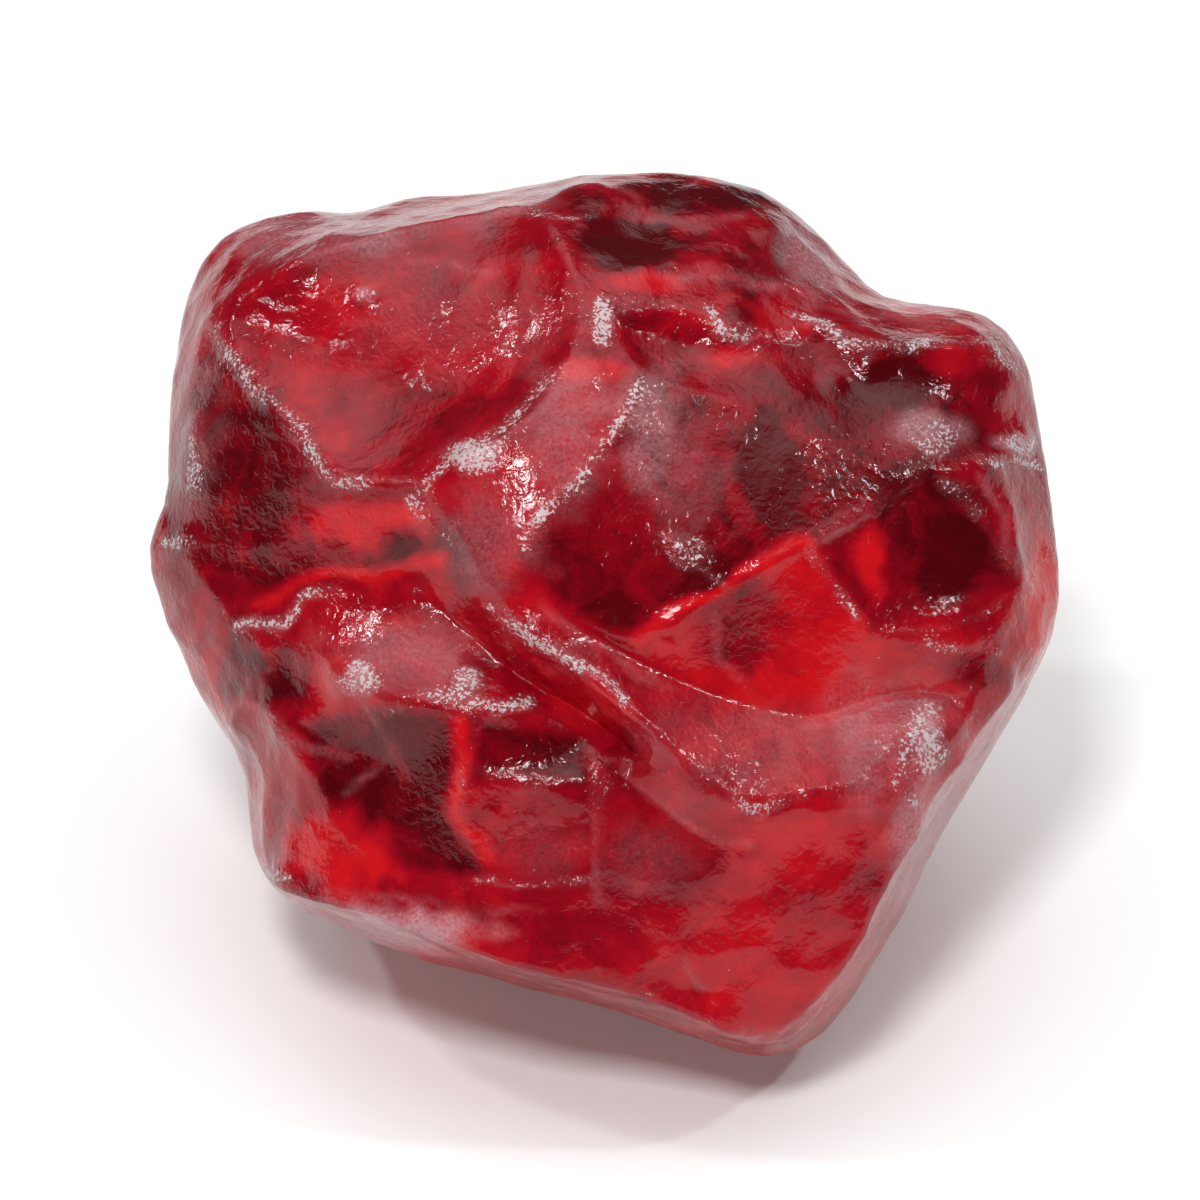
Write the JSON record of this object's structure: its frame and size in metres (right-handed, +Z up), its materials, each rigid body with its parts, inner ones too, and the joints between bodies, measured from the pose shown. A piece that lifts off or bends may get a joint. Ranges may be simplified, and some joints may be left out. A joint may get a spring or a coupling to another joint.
{
  "type": "ruby",
  "caption": "Loose rough ruby: a see-through deep red broken crystal with glassy hollows, ledges and crisp ridges, resting on a flat break.",
  "frame": {"origin": "middle of the stone's box, at the height of the flat break it rests on", "axes": "+Z up as it rests, -Y towards the side with the large hollow and the broken facets, +X to the right seen from that side"},
  "size_m": [0.0226, 0.0206, 0.0187],
  "materials": {
    "ruby_crystal": "glassy broken surface, deep red and see-through"
  },
  "bodies": {
    "root": {"ruby": "ruby_crystal"}
  },
  "joints": []
}
